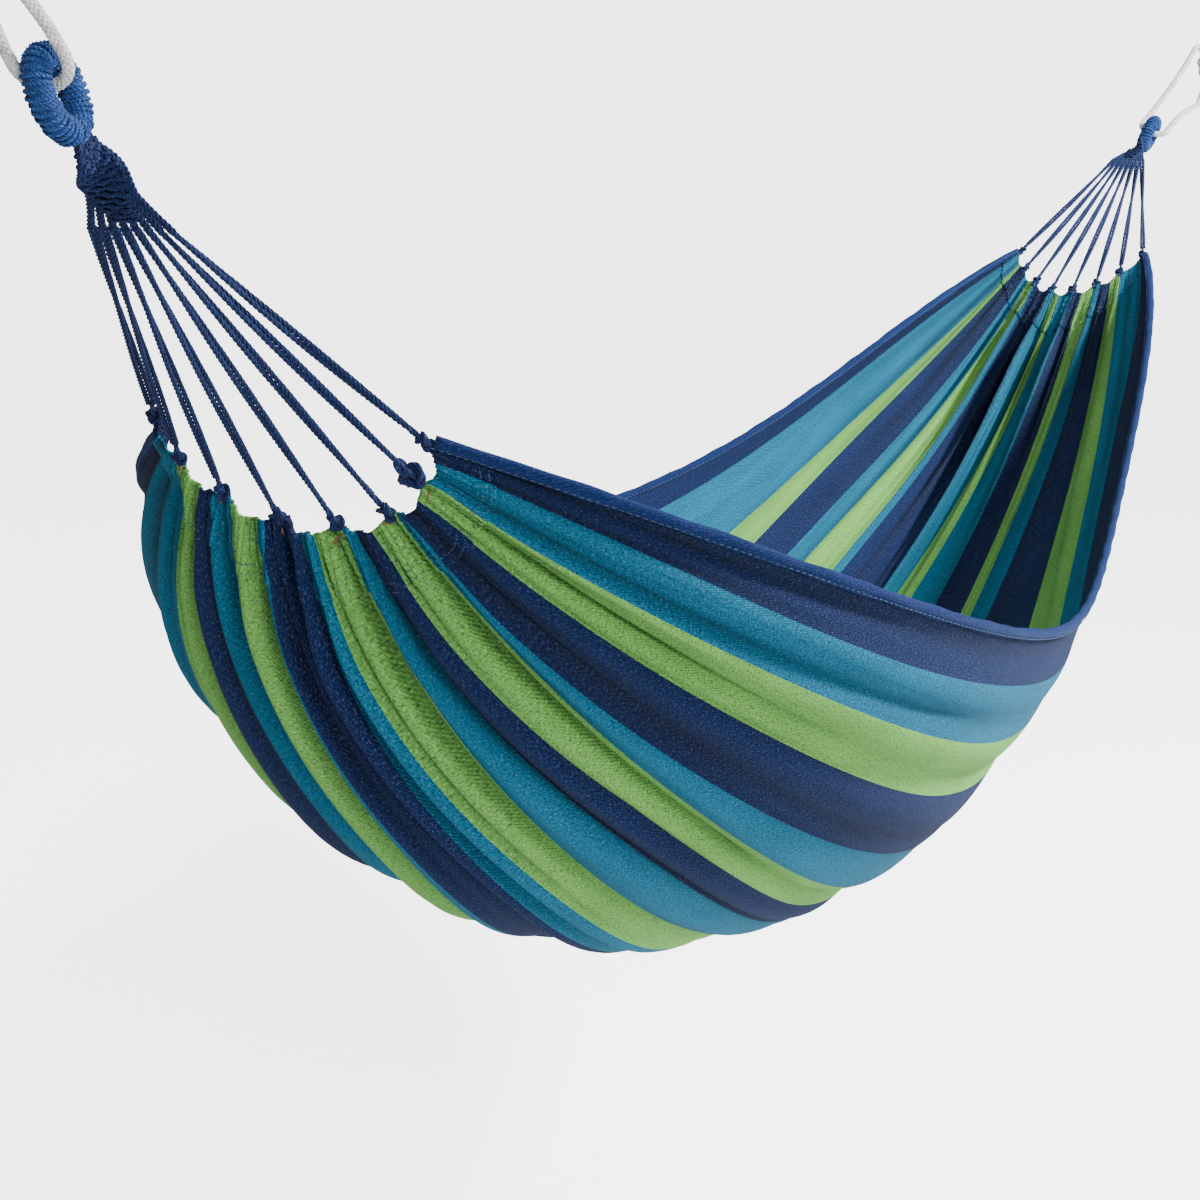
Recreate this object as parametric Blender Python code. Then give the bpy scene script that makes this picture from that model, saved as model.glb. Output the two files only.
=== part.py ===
# Striped rope hammock, hung by a rope at each end.
# X runs from the head end to the foot end, Z is up, and the bed is a mirror image about y = 0.
# The origin is the centre of the bar that the head rope goes round.
import math

import bmesh
import bpy
import numpy as np
from mathutils import Matrix, Vector

# hanging ropes and eyes
BAR_TO_EYE = 0.220          # from a bar's centre to the middle of the eye's top bend
EYE_SPAN = 2.250            # between the two eyes' top bends
HEAD_PULL = math.radians(54)    # each rope's slope above level
FOOT_PULL = math.radians(22)
HEAD_TWIST = math.radians(-15)  # how far each eye is turned about its rope
FOOT_TWIST = math.radians(20)
ROPE_RADIUS = 0.004
BAR_RADIUS = 0.041          # the bar that a rope's loop has room for
BUNDLE_RADIUS = 0.0100      # the thick wrapped ring of an eye
EYE_HALF_LENGTH = 0.0245    # of the ring's centre line, along the pull
EYE_HALF_WIDTH = 0.0170
ROPE_CLEARANCE = 0.0045     # between the rope and the ring, so that the ring can roll in it
ROPE_KNOT_RADIUS = 0.013

# clews and suspension cords
CLEW_LENGTH = 0.066
CLEW_TOP_WIDTH = 0.030
CLEW_TOP_THICKNESS = 0.019
CLEW_END_WIDTH = 0.080
CLEW_END_THICKNESS = 0.014
CORD_COUNT = 8
CORD_RADIUS = 0.0040
KNOT_RADIUS = 0.0075
KNOT_LENGTH = 0.018
KNOT_SPREAD = 0.970         # share of the end's half width that the outer knots stand at
CORD_SPREAD = 0.86          # share of the clew's half width that the outer cords leave it at

# the bed: places of its edge and of its lowest line at five stations from head to foot
STATIONS = (-1.0, -0.5, 0.0, 0.5, 1.0)
EDGE_X = (0.354, 0.764, 1.214, 1.649, 2.079)
EDGE_Y = (0.125, 0.385, 0.325, 0.220, 0.090)
EDGE_Z = (-0.422, -0.597, -0.642, -0.537, -0.352)
KEEL_X = (0.379, 0.694, 1.074, 1.464, 2.004)
KEEL_Z = (-0.497, -0.912, -0.947, -0.837, -0.402)
WRAP_ANGLES = (91, 75, 56)  # half of the arc that the bed's section makes, at the head, middle and foot
CLOTH_THICKNESS = 0.004
CLOTH_END = 0.966           # the station where an end hem, about 34 mm deep, begins
CLOTH_ROWS = 36
CLOTH_COLUMNS = 20
END_HEM_THICKNESS = 0.008
SIDE_HEM_RADIUS = 0.005
SIDE_HEM_CLEARANCE = 0.0012 # from the flat cloth beside it
SIDE_HEM_END = 0.995        # the station where it stops

GAP = 0.0003                # between pieces that touch
SEAM_GAP = 0.0006           # between the bed cloth and an end hem, in stations
AXIS_Y = Vector((0, 1, 0))

NAVY = (0.020, 0.035, 0.180)
NAVY_LIGHT = (0.060, 0.110, 0.330)
TEAL = (0.020, 0.180, 0.310)
WHITE = (0.820, 0.810, 0.760)

for old in list(bpy.context.scene.objects):
    bpy.data.objects.remove(old, do_unlink=True)


def fabric(name, color, roughness=0.9):
    """A plain material for one piece."""
    material = bpy.data.materials.new(name)
    material.use_nodes = True
    shader = material.node_tree.nodes["Principled BSDF"]
    shader.inputs["Base Color"].default_value = (*color, 1)
    shader.inputs["Roughness"].default_value = roughness
    shader.inputs["Metallic"].default_value = 0.0
    return material


def add_mesh(name, mesh_maker, color, parent=None):
    """Makes an object from a bmesh, with its faces pointing out."""
    bmesh.ops.remove_doubles(mesh_maker, verts=mesh_maker.verts, dist=1e-6)
    bmesh.ops.recalc_face_normals(mesh_maker, faces=mesh_maker.faces)
    mesh = bpy.data.meshes.new(name)
    mesh_maker.to_mesh(mesh)
    mesh_maker.free()
    mesh.shade_smooth()
    mesh.set_sharp_from_angle(angle=math.radians(50))
    mesh.materials.append(fabric(name + "_fabric", color))
    piece = bpy.data.objects.new(name, mesh)
    bpy.context.scene.collection.objects.link(piece)
    hold(piece, parent)
    return piece


def add_tube(name, points, radius, color, sides=2, parent=None):
    """A round cord along a list of points, with closed ends."""
    curve = bpy.data.curves.new(name, "CURVE")
    curve.dimensions = "3D"
    curve.bevel_depth = radius
    curve.bevel_resolution = sides
    curve.use_fill_caps = True
    curve.render_resolution_u = 0
    spline = curve.splines.new("POLY")
    spline.points.add(len(points) - 1)
    for place, point in zip(spline.points, points):
        place.co = (*point, 1)
    curve.materials.append(fabric(name + "_fabric", color))
    piece = bpy.data.objects.new(name, curve)
    bpy.context.scene.collection.objects.link(piece)
    hold(piece, parent)
    return piece


def hold(piece, parent):
    """Parents a piece to an empty without moving it."""
    if parent is not None:
        piece.parent = parent
        piece.matrix_parent_inverse = Matrix.Translation(parent.location).inverted()


def skin(rings, closed=False):
    """A closed solid from rings of points. The ends are capped, or joined when the rings make a loop."""
    maker = bmesh.new()
    rows = [[maker.verts.new(point) for point in ring] for ring in rings]
    pairs = list(zip(rows, rows[1:]))
    if closed:
        pairs.append((rows[-1], rows[0]))
    for first, second in pairs:
        for i in range(len(first)):
            j = (i + 1) % len(first)
            maker.faces.new((first[i], first[j], second[j], second[i]))
    if not closed:
        maker.faces.new(rows[0])
        maker.faces.new(list(reversed(rows[-1])))
    return maker


def ellipse(centre, across, through, count):
    """Points of an ellipse whose two half axes are the given vectors."""
    turns = [2 * math.pi * i / count for i in range(count)]
    return [centre + across * math.cos(turn) + through * math.sin(turn) for turn in turns]


class End:
    """The directions and places of one end of the hammock."""

    def __init__(self, name, side, pull, twist, pivot):
        self.name = name
        self.side = side                    # -1 at the head, 1 at the foot
        self.pivot = pivot                  # middle of the eye's top bend
        self.out = Vector((side * math.cos(pull), 0, math.sin(pull)))
        self.up = Vector((-side * math.sin(pull), 0, math.cos(pull)))
        self.through = AXIS_Y * math.cos(twist) + self.up * math.sin(twist)
        self.across = self.up * math.cos(twist) - AXIS_Y * math.sin(twist)
        self.centre = pivot - self.out * EYE_HALF_LENGTH
        self.bar = pivot + self.out * BAR_TO_EYE


# ---- the bed's surface ----

def along(values, t):
    """A smooth line through five values, one at each station."""
    return float(np.polyval(np.polyfit(STATIONS, values, 4), t))


def bed_point(t, v):
    """A point of the bed: t is -1 at the head and 1 at the foot, v is -1 and 1 at the two edges."""
    wrap = math.radians(float(np.polyval(np.polyfit((-1, 0, 1), WRAP_ANGLES, 2), t)))
    rise = (1 - math.cos(v * wrap)) / (1 - math.cos(wrap))
    x = along(KEEL_X, t) + (along(EDGE_X, t) - along(KEEL_X, t)) * rise
    y = along(EDGE_Y, t) * math.sin(v * wrap) / math.sin(wrap)
    z = along(KEEL_Z, t) + (along(EDGE_Z, t) - along(KEEL_Z, t)) * rise
    return Vector((x, y, z))


def inner_edge(t):
    """The v where the cloth meets the rolled hem along the bed's edge."""
    reach = SIDE_HEM_RADIUS + SIDE_HEM_CLEARANCE
    step = 0.02
    lengthways = (bed_point(t + step, 1) - bed_point(t - step, 1)).normalized()
    crossways = bed_point(t, 1) - bed_point(t, 1 - step)
    return 1 - reach * step / (crossways - lengthways * crossways.dot(lengthways)).length


def bed_normal(t, v):
    """The direction out of the bed's inner face."""
    step = 0.002
    lengthways = bed_point(t + step, v) - bed_point(t - step, v)
    crossways = bed_point(t, v + step) - bed_point(t, v - step)
    return lengthways.cross(crossways).normalized()


def cloth_panel(name, t_range, t_count, v_count, thickness, color, parent):
    """A panel of the bed's surface as a closed shell of even thickness."""
    maker = bmesh.new()
    faces = []
    for side in (-0.5, 0.5):
        grid = []
        for t in np.linspace(*t_range, t_count + 1):
            edge = inner_edge(float(t))
            places = [(float(t), float(v)) for v in np.linspace(-edge, edge, v_count + 1)]
            grid.append([maker.verts.new(bed_point(*p) + bed_normal(*p) * side * thickness) for p in places])
        faces.append(grid)
    lower, upper = faces
    for i in range(t_count):
        for j in range(v_count):
            for grid in faces:
                maker.faces.new((grid[i][j], grid[i][j + 1], grid[i + 1][j + 1], grid[i + 1][j]))
    for i in range(t_count):
        for j in (0, v_count):
            maker.faces.new((lower[i][j], lower[i + 1][j], upper[i + 1][j], upper[i][j]))
    for j in range(v_count):
        for i in (0, t_count):
            maker.faces.new((lower[i][j], lower[i][j + 1], upper[i][j + 1], upper[i][j]))
    return add_mesh(name, maker, color, parent)


# ---- one end's hanging parts ----

def rope_route(end):
    """The hanging rope's centre line: round the bar, down to the eye, through it and back."""
    loop = BAR_RADIUS + ROPE_RADIUS
    bight = BUNDLE_RADIUS + ROPE_RADIUS + ROPE_CLEARANCE
    knot_turn = math.asin((ROPE_KNOT_RADIUS + GAP) / loop)
    last_turn = math.pi / 2 + math.asin(loop / BAR_TO_EYE)
    half = []
    for turn in np.linspace(knot_turn, last_turn, 9):
        half.append(end.bar + end.out * loop * math.cos(turn) + end.up * loop * math.sin(turn))
    length = BAR_TO_EYE + loop * math.cos(last_turn)
    height = loop * math.sin(last_turn)
    slope = length * math.cos(last_turn) / math.sin(last_turn)
    for share in np.linspace(0, 1, 13)[1:-1]:
        ease = share * share * (3 - 2 * share)
        lift = height * (1 - ease) + slope * share * (1 - share) ** 2
        half.append(end.pivot + end.out * length * (1 - share) + end.up * lift + end.through * bight * ease)
    for turn in np.linspace(0, math.pi / 2, 5):
        half.append(end.pivot + end.through * bight * math.cos(turn) - end.out * bight * math.sin(turn))
    other = []
    for point in reversed(half[:-1]):
        arm = point - end.pivot
        other.append(end.pivot + end.out * arm.dot(end.out) * 2 - arm)
    return half + other


def add_rope(end):
    route = rope_route(end)
    add_tube(end.name + "_hanging_rope", route, ROPE_RADIUS, WHITE)
    knot_place = end.bar + end.out * (BAR_RADIUS + ROPE_RADIUS)
    maker = bmesh.new()
    bmesh.ops.create_icosphere(maker, subdivisions=2, radius=ROPE_KNOT_RADIUS)
    bmesh.ops.translate(maker, verts=maker.verts, vec=knot_place)
    add_mesh(end.name + "_rope_knot", maker, WHITE)


def add_eye(end, parent):
    rings = []
    count = 32
    for i in range(count):
        turn = 2 * math.pi * i / count
        centre = end.centre + end.out * EYE_HALF_LENGTH * math.cos(turn) + end.across * EYE_HALF_WIDTH * math.sin(turn)
        outward = (end.out * EYE_HALF_WIDTH * math.cos(turn) + end.across * EYE_HALF_LENGTH * math.sin(turn)).normalized()
        rings.append(ellipse(centre, outward * BUNDLE_RADIUS, end.through * BUNDLE_RADIUS, 14))
    add_mesh(end.name + "_eye", skin(rings, closed=True), NAVY, parent)


def clew_frame(end, share):
    """Centre, half width and half thickness vectors of the clew, from its top (0) to its fan (1)."""
    top = EYE_HALF_LENGTH + BUNDLE_RADIUS + GAP
    centre = end.centre - end.out * (top + CLEW_LENGTH * share)
    turned = min(1.0, share * 1.6)          # the clew is flat again before its cords leave it
    turn = (math.pi / 2 - (HEAD_TWIST if end.side < 0 else FOOT_TWIST)) * turned * turned * (3 - 2 * turned)
    across = end.across * math.cos(turn) - end.through * math.sin(turn)
    through = end.through * math.cos(turn) + end.across * math.sin(turn)
    width = CLEW_TOP_WIDTH + (CLEW_END_WIDTH - CLEW_TOP_WIDTH) * share
    thickness = CLEW_TOP_THICKNESS + (CLEW_END_THICKNESS - CLEW_TOP_THICKNESS) * share
    return centre, across * width / 2, through * thickness / 2


def add_clew(end, parent):
    rings = [ellipse(*clew_frame(end, share), 20) for share in np.linspace(0, 1, 11)]
    add_mesh(end.name + "_clew", skin(rings), NAVY, parent)


def standoff(line, face_normal, radius):
    """How far along a line a round end of this radius starts, to clear the flat face that it leaves."""
    slope = abs(line.dot(face_normal))
    return (GAP + radius * math.sqrt(max(0.0, 1 - slope * slope))) / slope


def add_cords_and_knots(end, parent):
    """The suspension cords, each with the knot that holds it to the cloth's end hem."""
    centre, across, _ = clew_frame(end, 1)
    for i, v in enumerate(np.linspace(-KNOT_SPREAD, KNOT_SPREAD, CORD_COUNT)):
        v = float(v)
        start = centre - across * v * CORD_SPREAD
        hem = bed_point(end.side, v)
        end_face = (bed_point(end.side, v + 0.02) - bed_point(end.side, v - 0.02)).cross(bed_normal(end.side, v))
        line = (start - hem).normalized()
        knot_end = hem + line * standoff(line, end_face.normalized(), KNOT_RADIUS)
        knot_start = knot_end + line * KNOT_LENGTH
        cord_end = knot_start + line * GAP
        cord_start = start - line * standoff(line, end.out, CORD_RADIUS)
        points = [cord_start.lerp(cord_end, share) for share in (0, 0.25, 0.5, 0.75, 1)]
        add_tube("%s_cord_%d" % (end.name, i + 1), points, CORD_RADIUS, NAVY, parent=parent)
        add_knot("%s_knot_%d" % (end.name, i + 1), knot_start, knot_end, parent)


def add_knot(name, start, finish, parent):
    """A small barrel-shaped knot between two points."""
    line = finish - start
    across = line.cross(AXIS_Y if abs(line.normalized().y) < 0.9 else Vector((0, 0, 1))).normalized()
    through = line.normalized().cross(across)
    rings = []
    for share in np.linspace(0, 1, 6):
        radius = KNOT_RADIUS * (0.55 + 0.45 * math.sin(math.pi * share))
        rings.append(ellipse(start.lerp(finish, float(share)), across * radius, through * radius, 10))
    add_mesh(name, skin(rings), NAVY_LIGHT, parent)


def add_side_hem(name, side, parent):
    """The rolled hem along one edge of the bed."""
    stations = [-SIDE_HEM_END, *np.linspace(-CLOTH_END, CLOTH_END, CLOTH_ROWS + 1), SIDE_HEM_END]
    points = [bed_point(float(t), side) for t in stations]
    add_tube(name, points, SIDE_HEM_RADIUS, NAVY_LIGHT, parent=parent)


pivot_head = -Vector((-math.cos(HEAD_PULL), 0, math.sin(HEAD_PULL))) * BAR_TO_EYE
head = End("head", -1, HEAD_PULL, HEAD_TWIST, pivot_head)
foot = End("foot", 1, FOOT_PULL, FOOT_TWIST, pivot_head + Vector((EYE_SPAN, 0, 0)))

# everything below the ropes swings about the line through the two eyes
swing = bpy.data.objects.new("swing_axis", None)
swing.location = head.pivot
bpy.context.scene.collection.objects.link(swing)

for end in (head, foot):
    add_rope(end)
    add_eye(end, swing)
    add_clew(end, swing)
    add_cords_and_knots(end, swing)

cloth_panel("bed_cloth", (-CLOTH_END, CLOTH_END), CLOTH_ROWS, CLOTH_COLUMNS, CLOTH_THICKNESS, TEAL, swing)
cloth_panel("head_end_hem", (-1, -CLOTH_END - SEAM_GAP), 2, CLOTH_COLUMNS, END_HEM_THICKNESS, TEAL, swing)
cloth_panel("foot_end_hem", (CLOTH_END + SEAM_GAP, 1), 2, CLOTH_COLUMNS, END_HEM_THICKNESS, TEAL, swing)
add_side_hem("near_side_hem", -1, swing)
add_side_hem("far_side_hem", 1, swing)
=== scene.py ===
import math
from types import SimpleNamespace

import bpy
import numpy as np
from mathutils import Matrix, Vector


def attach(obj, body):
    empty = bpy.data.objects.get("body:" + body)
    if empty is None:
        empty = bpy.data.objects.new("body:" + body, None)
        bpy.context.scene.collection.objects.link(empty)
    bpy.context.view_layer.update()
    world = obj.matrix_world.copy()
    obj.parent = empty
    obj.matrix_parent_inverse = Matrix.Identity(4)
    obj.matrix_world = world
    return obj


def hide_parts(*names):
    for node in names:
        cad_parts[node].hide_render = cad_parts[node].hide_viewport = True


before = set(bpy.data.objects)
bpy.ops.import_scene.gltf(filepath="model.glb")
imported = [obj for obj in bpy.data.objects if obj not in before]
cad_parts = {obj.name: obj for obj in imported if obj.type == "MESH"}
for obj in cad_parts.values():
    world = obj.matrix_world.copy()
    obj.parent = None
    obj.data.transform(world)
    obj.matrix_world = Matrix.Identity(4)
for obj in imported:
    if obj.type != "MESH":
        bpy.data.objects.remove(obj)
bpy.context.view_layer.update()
print("frame loaded")

# Striped rope hammock: a woven bed hung by cords, clews, wrapped eyes and white ropes.
# X runs from head to foot, Z is up, sizes are in metres. Where an end has a number, -1 is the head and 1 the foot.

hanging = {
    "barToEye": 0.220, "eyeSpan": 2.250,
    "pull": {"head": 54, "foot": 22},  # degrees above level
    "twist": {"head": -15, "foot": 20},  # how far each eye is turned about its rope
}

bed = {
    "stations": (-1.0, -0.5, 0.0, 0.5, 1.0),  # head to foot, and one unit is a metre of cloth
    "edgeX": (0.354, 0.764, 1.214, 1.649, 2.079), "edgeY": (0.125, 0.385, 0.325, 0.220, 0.090),
    "edgeZ": (-0.422, -0.597, -0.642, -0.537, -0.352), "keelX": (0.379, 0.694, 1.074, 1.464, 2.004),
    "keelZ": (-0.497, -0.912, -0.947, -0.837, -0.402),
    "wrap": (91, 75, 56),  # half of the section's arc at head, middle and foot
    "width": 1.10, "length": 2.00, "thickness": 0.0012, "hemDepth": 0.034,
    "hemOverlap": 0.006,  # how far the canvas runs under the gathered hems
    "rows": 226, "columns": 204,
    "crowding": 1.25,  # above 1, rows lie closer towards the ends
    "knotSpread": 0.970,  # the outermost knots, in half widths
    "knotCount": 8,
}

# the strip of cloth from one knot to the next is a panel
folds = {
    "bulge": {-1: 0.034, 1: 0.024},  # how far the cloth stands out between two knots
    "atHem": {-1: 0.30, 1: 0.10},  # the share of that at the very end
    "hemReach": 0.08,
    "kinds": (  # folds to a panel, their shape, how far down the bed they run, and the painted shade in their valleys: how dark it is and how far it runs
        {"count": 1, "start": 0.0, "drift": 0.3, "round": 0.80, "level": 0.6, "height": 0.60,
         "reach": 0.620, "fade": 2.0, "shade": 0.0, "shadeReach": 0.620},
        {"count": 2, "start": 0.0, "drift": 1.0, "round": 0.55, "level": 0.7, "height": 0.66,
         "reach": 0.589, "fade": 2.0, "shade": 0.9, "shadeReach": 0.713},
        {"count": 3, "start": 0.4, "drift": 1.4, "round": 0.55, "level": 0.7, "height": 0.36,
         "reach": 0.341, "fade": 2.0, "shade": 0.7, "shadeReach": 0.434},
        {"count": 5, "start": 0.0, "drift": 2.0, "round": 0.80, "level": 0.6, "height": 0.22,
         "reach": 0.200, "fade": 1.5, "shade": 0.5, "shadeReach": 0.248},
    ),
    "drift": (0.12, 0.08),  # large and small wandering of the folds, in panels
    "uneven": (0.30, 0.20),  # large and small differences between them
    "valleyRound": 0.30,
    "valleyShade": 0.16,  # painted shade: what is left of the cloth's colour in the bottom of a fold
    "handOver": 0.3,  # half of the stretch where the head's folds become the foot's
    "sideCalm": 0.72,  # how much smaller they are towards the long edges
    "sideFrom": 0.45, "sideOver": 0.4, "edgeFade": 0.06,
    "tuck": {"depth": 0.022, "from": 0.45, "over": 0.3, "fade": 0.05, "reach": 0.20},
    "soft": {"large": 0.0070, "small": 0.0034, "round": 0.7, "level": 0.7, "edge": 0.12, "reach": 0.3},
    "scallop": 0.004,  # how far the end is drawn back between two knots
    "scallopReach": 0.20, "scallopEdge": 0.03,
}

# from the near edge: the stripes' dyes, and where the borders between them run, in half widths, on the uncut
# cloth and, by place along the bed, as the gathers draw them
stripes = {
    "order": "NTGNTGNTGTNTGTNGTN",
    "flat": (-0.91, -0.80, -0.68, -0.54, -0.46, -0.36, -0.26, -0.14, -0.06, 0.02, 0.215, 0.245, 0.35, 0.44, 0.56,
             0.70, 0.90),
    "places": {
        -1.00: (-0.93, -0.79, -0.66, -0.52, -0.48, -0.32, -0.23, -0.17, -0.02, 0.03, 0.20, 0.235, 0.38, 0.48, 0.55,
                0.72, 0.90),
        -0.75: (-0.92, -0.82, -0.71, -0.59, -0.53, -0.45, -0.38, -0.28, -0.20, -0.13, 0.00, 0.03, 0.14, 0.23, 0.35,
                0.55, 0.84),
        -0.40: (-0.93, -0.83, -0.72, -0.60, -0.51, -0.43, -0.37, -0.28, -0.19, -0.11, 0.05, 0.08, 0.20, 0.30, 0.42,
                0.60, 0.88),
        0.65: (-0.90, -0.76, -0.60, -0.33, -0.28, -0.18, -0.04, 0.12, 0.20, 0.26, 0.47, 0.50, 0.61, 0.67, 0.80,
               0.85, 0.97),
        1.00: (-0.97, -0.72, -0.62, -0.48, -0.44, -0.27, -0.17, 0.00, 0.07, 0.15, 0.39, 0.42, 0.53, 0.62, 0.80,
               0.84, 0.97),
    },
}

dyes = {"N": (0.0004, 0.010, 0.066), "T": (0.002, 0.130, 0.235), "G": (0.165, 0.440, 0.085)}  # navy, teal, green

flatBorders = np.array((-1, *stripes["flat"], 1))


def unit(a):
    return a / np.linalg.norm(a, axis=-1, keepdims=True)


def makeEnd(name, side):
    # one end's eye, rope and bar: out runs along the rope, up is square to it, and through is the hole of the eye
    end = SimpleNamespace(name=name, side=side, twist=math.radians(hanging["twist"][name]))
    pull, headPull = math.radians(hanging["pull"][name]), math.radians(hanging["pull"]["head"])
    sideways = np.array((0.0, 1.0, 0.0))
    span = hanging["eyeSpan"] if side > 0 else 0
    pivotX, pivotZ = hanging["barToEye"] * math.cos(headPull) + span, -hanging["barToEye"] * math.sin(headPull)
    end.pivot = np.array((pivotX, 0, pivotZ))
    end.out = np.array((side * math.cos(pull), 0, math.sin(pull)))
    end.up = np.array((-side * math.sin(pull), 0, math.cos(pull)))
    end.through = sideways * math.cos(end.twist) + end.up * math.sin(end.twist)
    end.across = end.up * math.cos(end.twist) - sideways * math.sin(end.twist)
    end.centre = end.pivot - end.out * eye["halfLength"]
    end.bar = end.pivot + end.out * hanging["barToEye"]
    return end


def along(key, t):
    return np.polyval(np.polyfit(bed["stations"], bed[key], 4), t)


def bedPoint(t, v):
    t, v = np.broadcast_arrays(np.asarray(t, float), np.asarray(v, float))
    wrap = np.radians(np.polyval(np.polyfit((-1, 0, 1), bed["wrap"], 2), t))
    rise = (1 - np.cos(v * wrap)) / (1 - np.cos(wrap))
    x = along("keelX", t) + (along("edgeX", t) - along("keelX", t)) * rise
    y = along("edgeY", t) * np.sin(v * wrap) / np.sin(wrap)
    z = along("keelZ", t) + (along("edgeZ", t) - along("keelZ", t)) * rise
    return np.stack((x, y, z), -1)


def bedNormal(t, v):
    step = 0.002
    lengthways = bedPoint(t + step, v) - bedPoint(t - step, v)
    crossways = bedPoint(t, v + step) - bedPoint(t, v - step)
    return unit(np.cross(lengthways, crossways))  # out of the inner face


def ease(x):
    x = np.clip(x, 0, 1)
    return x * x * (3 - 2 * x)


def bordersAt(t):
    # smooth curves through the places of the borders, with the two edges of the cloth at the ends
    stops = sorted(stripes["places"])
    rows = np.array([(-1, *stripes["places"][stop], 1) for stop in stops])
    slopes = np.gradient(rows, stops, axis=0)
    i = int(np.clip(np.searchsorted(stops, t) - 1, 0, len(stops) - 2))
    span = stops[i + 1] - stops[i]
    s = (t - stops[i]) / span
    here = rows[i] * (2 * s ** 3 - 3 * s ** 2 + 1) + rows[i + 1] * (3 * s ** 2 - 2 * s ** 3)
    here += span * (slopes[i] * (s ** 3 - 2 * s ** 2 + s) + slopes[i + 1] * (s ** 3 - s ** 2))
    return np.maximum.accumulate(here)


def fabricAt(t, v):
    # where across the uncut cloth a point lies, from -1 to 1
    t, v = np.broadcast_arrays(np.asarray(t, float), np.asarray(v, float))
    rows, which = np.unique(t.ravel(), return_inverse=True)
    across, fabric = v.ravel(), np.empty(t.size)
    for i, row in enumerate(rows):
        same = which == i
        fabric[same] = np.interp(across[same], bordersAt(row), flatBorders)
    return fabric.reshape(t.shape)


def knotPlaces():
    return np.linspace(-bed["knotSpread"], bed["knotSpread"], bed["knotCount"])


def knotNumber(v):
    # along the end of the cloth, with a whole number at each knot
    return (v + bed["knotSpread"]) / (2 * bed["knotSpread"]) * (bed["knotCount"] - 1)


def panelAt(t, v):
    # across the cloth, with a whole number on each thread that runs into a knot
    numbers = np.arange(bed["knotCount"])
    fabric = fabricAt(t, v)
    toHead = np.interp(fabric, fabricAt(-1.0, knotPlaces()), numbers)
    toFoot = np.interp(fabric, fabricAt(1.0, knotPlaces()), numbers)
    share = ease((np.asarray(t, float) + folds["handOver"]) / (2 * folds["handOver"]))
    return toHead * (1 - share) + toFoot * share


def pleat(x, sharpness):
    # round folds with a narrow valley at each whole number
    return np.abs(np.sin(math.pi * x)) ** sharpness


def foldAcross(kind, panel, t):
    large, small = folds["drift"]
    drift = large * np.sin(2.3 * panel + 1.6 * t) + small * np.sin(5.1 * panel - 2.1 * t)
    return kind["count"] * panel + kind["start"] + kind["drift"] * drift


def paintedFoldShade(t, v):
    # painted shade for the folds: 1 in the bottom of a fold and 0 on the open cloth
    panel, fromEnd = panelAt(t, v), 1 - np.abs(t)
    valley = np.zeros_like(panel)
    for kind in folds["kinds"]:
        depth = 1 - pleat(foldAcross(kind, panel, t), folds["valleyRound"])
        valley += kind["shade"] * depth * np.exp(-(fromEnd / kind["shadeReach"]) ** 2)
    return np.clip(valley, 0, 1)


def foldLift(t, v):
    # the cloth is pulled in at each knot and stands out between them
    panel, fromEnd, fromEdge = panelAt(t, v), 1 - np.abs(t), 1 - np.abs(v)
    atHem = np.where(t < 0, folds["atHem"][-1], folds["atHem"][1])
    size = np.where(t < 0, folds["bulge"][-1], folds["bulge"][1])
    size = size * (1 - folds["sideCalm"] * ease((np.abs(v) - folds["sideFrom"]) / folds["sideOver"]))
    size = size * ease(fromEdge / folds["edgeFade"])
    size = size * (atHem + (1 - atHem) * ease(fromEnd / folds["hemReach"]))
    large, small = folds["uneven"]
    size = size * (1 + large * np.sin(1.9 * panel + 0.8) + small * np.sin(4.4 * panel + 2 * t))
    shape = np.zeros_like(panel)
    for kind in folds["kinds"]:
        fold = pleat(foldAcross(kind, panel, t), kind["round"]) - kind["level"]
        shape += fold * kind["height"] * np.exp(-(fromEnd / kind["reach"]) ** kind["fade"])
    lift = -size * shape
    # the far side hangs in a little below its last head knot
    tuck, fromHead = folds["tuck"], 1 + t
    inTuck = ease((v - tuck["from"]) / tuck["over"]) * ease(fromHead / tuck["fade"])
    lift += tuck["depth"] * inTuck * np.exp(-(fromHead / tuck["reach"]) ** 2)
    # long soft folds in the middle of the bed
    soft = folds["soft"]
    middle = ease(fromEdge / soft["edge"]) * ease(fromEnd / soft["reach"])
    waning = 0.55 + 0.45 * np.sin(3.1 * t + 4 * v)
    lift -= middle * soft["large"] * (pleat(0.8 * panel + 0.2, soft["round"]) - soft["level"]) * waning
    lift -= middle * soft["small"] * (pleat(1.9 * panel + 0.1 * np.sin(5 * t), soft["round"]) - soft["level"])
    return lift


def clothPoint(t, v, lift=0.0):
    t, v = np.broadcast_arrays(np.asarray(t, float), np.asarray(v, float))
    drawn = folds["scallop"] * np.sin(math.pi * knotNumber(v)) ** 2 * ease((1 - np.abs(v)) / folds["scallopEdge"])
    shifted = t - np.sign(t) * drawn * ease(1 - (1 - np.abs(t)) / folds["scallopReach"])
    return bedPoint(shifted, v) + bedNormal(shifted, v) * (foldLift(t, v) + lift)[..., None]


# a geometry node tree with its sizes as named inputs
def newTree(name, sizes):
    tree = bpy.data.node_groups.new(name, "GeometryNodeTree")
    tree.interface.new_socket("Geometry", in_out="INPUT", socket_type="NodeSocketGeometry")
    for label, value in sizes.items():
        kind = "NodeSocketInt" if isinstance(value, int) else "NodeSocketFloat"
        tree.interface.new_socket(label, in_out="INPUT", socket_type=kind).default_value = value
    tree.interface.new_socket("Finish", in_out="INPUT", socket_type="NodeSocketMaterial")
    tree.interface.new_socket("Geometry", in_out="OUTPUT", socket_type="NodeSocketGeometry")
    given = tree.nodes.new("NodeGroupInput")
    return tree, given.outputs


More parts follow.
